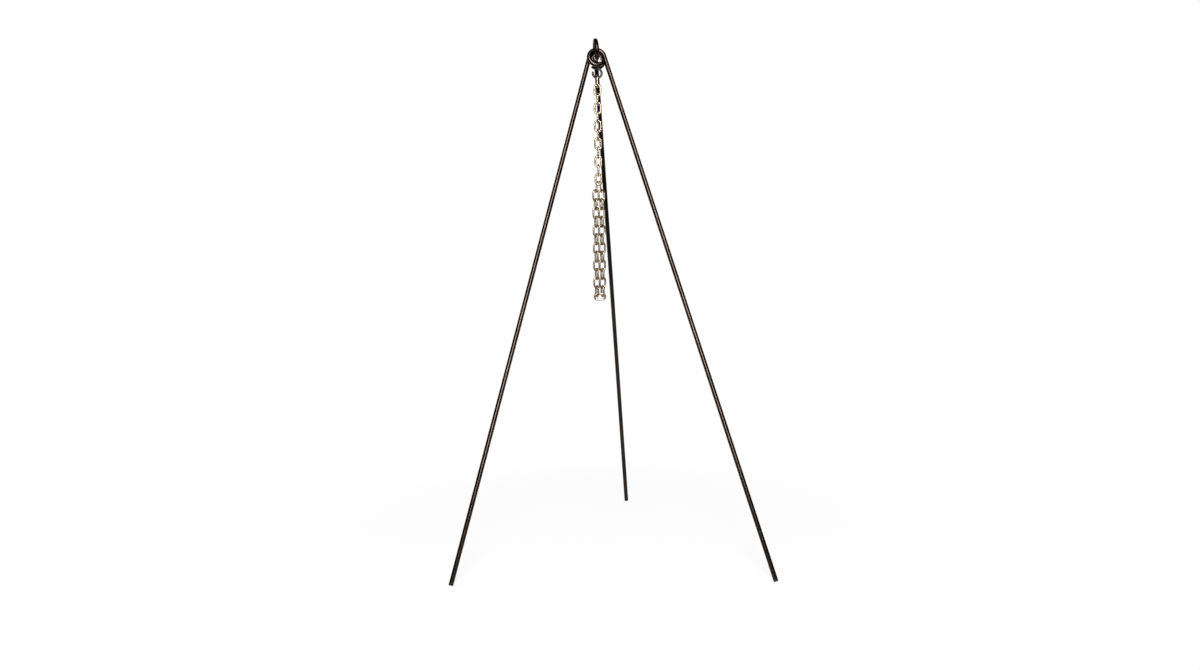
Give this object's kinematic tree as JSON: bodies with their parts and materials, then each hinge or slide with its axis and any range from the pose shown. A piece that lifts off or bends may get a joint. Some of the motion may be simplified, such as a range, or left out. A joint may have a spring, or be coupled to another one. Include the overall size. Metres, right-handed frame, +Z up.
{
  "type": "campfire cooking tripod",
  "caption": "Folding campfire tripod of bent steel rods linked at their eyes, with an S-hook and a welded chain that hangs a pot at an adjustable height.",
  "frame": {"origin": "on the ground, at the middle of the box round the three feet", "axes": "+Z up, +X from the left leg's foot to the right leg's foot, +Y from the front legs to the back leg"},
  "size_m": [0.8593, 0.8298, 1.4478],
  "materials": {
    "dark_paint": "dark brown-black gloss",
    "zinc_plate": "bright zinc"
  },
  "bodies": {
    "back_leg": {"back_leg": "dark_paint"},
    "left_leg": {"left_leg": "dark_paint"},
    "right_leg": {"right_leg": "dark_paint"},
    "upper_hook": {"upper_hook": "dark_paint"},
    "link_01": {"link_01": "zinc_plate"},
    "link_02": {"link_02": "zinc_plate"},
    "link_03": {"link_03": "zinc_plate"},
    "link_04": {"link_04": "zinc_plate"},
    "link_05": {"link_05": "zinc_plate"},
    "link_06": {"link_06": "zinc_plate"},
    "link_07": {"link_07": "zinc_plate"},
    "link_08": {"link_08": "zinc_plate"},
    "link_09": {"link_09": "zinc_plate"},
    "link_10": {"link_10": "zinc_plate"},
    "link_11": {"link_11": "zinc_plate"},
    "link_12": {"link_12": "zinc_plate"},
    "pair_13": {"run_a_13": "zinc_plate", "tail_hook": "zinc_plate"},
    "pair_14": {"run_a_14": "zinc_plate", "run_b_14": "zinc_plate"},
    "pair_15": {"run_a_15": "zinc_plate", "run_b_15": "zinc_plate"},
    "pair_16": {"run_a_16": "zinc_plate", "run_b_16": "zinc_plate"},
    "pair_17": {"run_a_17": "zinc_plate", "run_b_17": "zinc_plate"},
    "pair_18": {"run_a_18": "zinc_plate", "run_b_18": "zinc_plate"},
    "pair_19": {"run_a_19": "zinc_plate", "run_b_19": "zinc_plate"},
    "pair_20": {"run_a_20": "zinc_plate", "run_b_20": "zinc_plate"},
    "pair_21": {"run_a_21": "zinc_plate", "run_b_21": "zinc_plate"},
    "pair_22": {"run_a_22": "zinc_plate", "run_b_22": "zinc_plate"},
    "pair_23": {"run_a_23": "zinc_plate", "run_b_23": "zinc_plate"},
    "pair_24": {"run_a_24": "zinc_plate", "run_b_24": "zinc_plate"},
    "pair_25": {"run_a_25": "zinc_plate", "run_b_25": "zinc_plate"},
    "turn_link": {"turn_link": "zinc_plate"}
  },
  "joints": [
    {"name": "fold", "type": "hinge", "parent": "back_leg", "child": "right_leg", "pos_m": [-0.0275, -0.06647, 1.40102], "axis": [0.8999, 0.3974, 0.1793], "range_deg": [0, 30.1]},
    {"name": "left_fold", "type": "hinge", "parent": "back_leg", "child": "left_leg", "pos_m": [-0.02903, -0.04974, 1.41062], "axis": [0.8589, -0.5014, -0.1048], "range_deg": [0, 32.6]},
    {"name": "hook_slide", "type": "hinge", "parent": "back_leg", "child": "upper_hook", "pos_m": [-0.02811, -0.0598, 1.41752], "axis": [0.992, 0.0903, 0.0887], "range_deg": [0, 14.5]},
    {"name": "link_01_swing", "type": "hinge", "parent": "upper_hook", "child": "link_01", "pos_m": [-0.02576, -0.06192, 1.33958], "axis": [0.992, 0.0903, 0.0887], "range_deg": [-14.5, 0]},
    {"name": "link_02_swing", "type": "hinge", "parent": "link_01", "child": "link_02", "pos_m": [-0.02576, -0.06192, 1.31523], "axis": [0, 1, 0], "range_deg": [-7, 7]},
    {"name": "link_03_swing", "type": "hinge", "parent": "link_02", "child": "link_03", "pos_m": [-0.02576, -0.06192, 1.29053], "axis": [1, 0, 0], "range_deg": [-14, 3.5]},
    {"name": "link_04_swing", "type": "hinge", "parent": "link_03", "child": "link_04", "pos_m": [-0.02576, -0.06192, 1.26583], "axis": [0, 1, 0], "range_deg": [-7, 7]},
    {"name": "link_05_swing", "type": "hinge", "parent": "link_04", "child": "link_05", "pos_m": [-0.02576, -0.06192, 1.24113], "axis": [1, 0, 0], "range_deg": [-14, 3.5]},
    {"name": "link_06_swing", "type": "hinge", "parent": "link_05", "child": "link_06", "pos_m": [-0.02576, -0.06192, 1.21643], "axis": [0, 1, 0], "range_deg": [-7, 7]},
    {"name": "link_07_swing", "type": "hinge", "parent": "link_06", "child": "link_07", "pos_m": [-0.02576, -0.06192, 1.19173], "axis": [1, 0, 0], "range_deg": [-14, 3.5]},
    {"name": "link_08_swing", "type": "hinge", "parent": "link_07", "child": "link_08", "pos_m": [-0.02576, -0.06192, 1.16703], "axis": [0, 1, 0], "range_deg": [-7, 7]},
    {"name": "link_09_swing", "type": "hinge", "parent": "link_08", "child": "link_09", "pos_m": [-0.02576, -0.06192, 1.14233], "axis": [1, 0, 0], "range_deg": [-14, 3.5]},
    {"name": "link_10_swing", "type": "hinge", "parent": "link_09", "child": "link_10", "pos_m": [-0.02576, -0.06192, 1.11763], "axis": [0, 1, 0], "range_deg": [-7, 7]},
    {"name": "link_11_swing", "type": "hinge", "parent": "link_10", "child": "link_11", "pos_m": [-0.02576, -0.06192, 1.09293], "axis": [1, 0, 0], "range_deg": [-14, 3.5]},
    {"name": "link_12_swing", "type": "hinge", "parent": "link_11", "child": "link_12", "pos_m": [-0.02576, -0.06192, 1.06823], "axis": [0, 1, 0], "range_deg": [-7, 7]},
    {"name": "pair_13_swing", "type": "hinge", "parent": "link_12", "child": "pair_13", "pos_m": [-0.02562, -0.06192, 1.04655], "axis": [1, 0, 0], "range_deg": [-9, 3.5]},
    {"name": "pair_14_swing", "type": "hinge", "parent": "pair_13", "child": "pair_14", "pos_m": [-0.02576, -0.06192, 1.02279], "axis": [1, 0, 0], "range_deg": [-9, 3.5]},
    {"name": "pair_15_swing", "type": "hinge", "parent": "pair_14", "child": "pair_15", "pos_m": [-0.02576, -0.06192, 0.99809], "axis": [1, 0, 0], "range_deg": [-9, 3.5]},
    {"name": "pair_16_swing", "type": "hinge", "parent": "pair_15", "child": "pair_16", "pos_m": [-0.02576, -0.06192, 0.97339], "axis": [1, 0, 0], "range_deg": [-9, 3.5]},
    {"name": "pair_17_swing", "type": "hinge", "parent": "pair_16", "child": "pair_17", "pos_m": [-0.02576, -0.06192, 0.94869], "axis": [1, 0, 0], "range_deg": [-9, 3.5]},
    {"name": "pair_18_swing", "type": "hinge", "parent": "pair_17", "child": "pair_18", "pos_m": [-0.02576, -0.06192, 0.92399], "axis": [1, 0, 0], "range_deg": [-9, 3.5]},
    {"name": "pair_19_swing", "type": "hinge", "parent": "pair_18", "child": "pair_19", "pos_m": [-0.02576, -0.06192, 0.89929], "axis": [1, 0, 0], "range_deg": [-9, 3.5]},
    {"name": "pair_20_swing", "type": "hinge", "parent": "pair_19", "child": "pair_20", "pos_m": [-0.02576, -0.06192, 0.87459], "axis": [1, 0, 0], "range_deg": [-9, 3.5]},
    {"name": "pair_21_swing", "type": "hinge", "parent": "pair_20", "child": "pair_21", "pos_m": [-0.02576, -0.06192, 0.84989], "axis": [1, 0, 0], "range_deg": [-9, 3.5]},
    {"name": "pair_22_swing", "type": "hinge", "parent": "pair_21", "child": "pair_22", "pos_m": [-0.02576, -0.06192, 0.82519], "axis": [1, 0, 0], "range_deg": [-9, 3.5]},
    {"name": "pair_23_swing", "type": "hinge", "parent": "pair_22", "child": "pair_23", "pos_m": [-0.02576, -0.06192, 0.80049], "axis": [1, 0, 0], "range_deg": [-9, 3.5]},
    {"name": "pair_24_swing", "type": "hinge", "parent": "pair_23", "child": "pair_24", "pos_m": [-0.02576, -0.06192, 0.77579], "axis": [1, 0, 0], "range_deg": [-9, 3.5]},
    {"name": "pair_25_swing", "type": "hinge", "parent": "pair_24", "child": "pair_25", "pos_m": [-0.02576, -0.06192, 0.75109], "axis": [1, 0, 0], "range_deg": [-9, 3.5]},
    {"name": "turn_link_swing", "type": "hinge", "parent": "pair_25", "child": "turn_link", "pos_m": [-0.02576, -0.06192, 0.72639], "axis": [1, 0, 0], "range_deg": [-7, 7]}
  ],
  "couplings": [
    {"joint": "link_01_swing", "follows": "fold", "ratio": -0.48},
    {"joint": "left_fold", "follows": "fold", "ratio": 1.0815},
    {"joint": "hook_slide", "follows": "fold", "ratio": 0.48}
  ]
}
